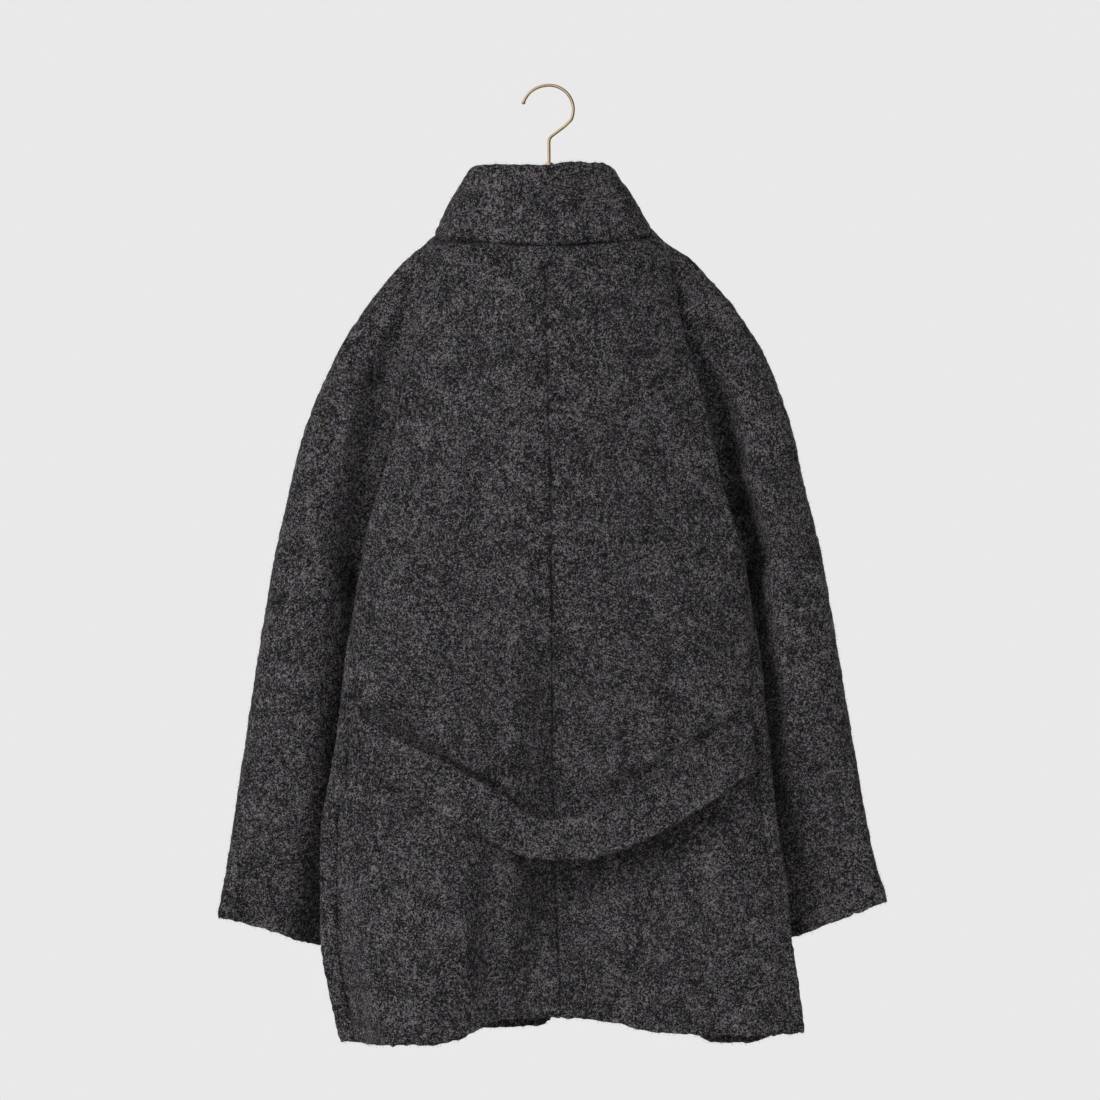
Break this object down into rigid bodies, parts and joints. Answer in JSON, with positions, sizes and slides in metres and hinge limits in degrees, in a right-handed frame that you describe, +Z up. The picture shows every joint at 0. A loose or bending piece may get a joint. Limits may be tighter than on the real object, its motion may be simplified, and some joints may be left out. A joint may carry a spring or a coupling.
{
  "type": "toggle coat on a hanger",
  "caption": "Short flared wool coat with raglan sleeves, high stand collar, loose half belt across the back and toggle front, hung open-hemmed on a hooked hanger.",
  "frame": {"origin": "inner crown of the hanger hook, where the rail bears", "axes": "+X to the wearer's left, +Y to the back of the coat, +Z up"},
  "size_m": [0.6738, 0.1465, 0.9681],
  "materials": {
    "wool": "nubby boiled wool in mixed charcoal greys, matt and slightly fuzzy",
    "cord": "round braided cord, charcoal",
    "dark_wood": "dark stained, satin",
    "brass": "satin wire",
    "beech": "plain satin wood"
  },
  "bodies": {
    "root": {"back_left": "wool", "back_right": "wool", "front_left": "wool", "front_right": "wool", "sleeve_left": "wool", "sleeve_right": "wool", "collar": "wool", "back_belt": "wool", "hanger_hook": "brass", "hanger_ferrule": "brass", "hanger_bar": "beech", "toggle_1": "dark_wood", "toggle_tie_1": "cord", "toggle_loop_1": "cord", "toggle_2": "dark_wood", "toggle_tie_2": "cord", "toggle_loop_2": "cord", "toggle_3": "dark_wood", "toggle_tie_3": "cord", "toggle_loop_3": "cord"}
  },
  "joints": []
}
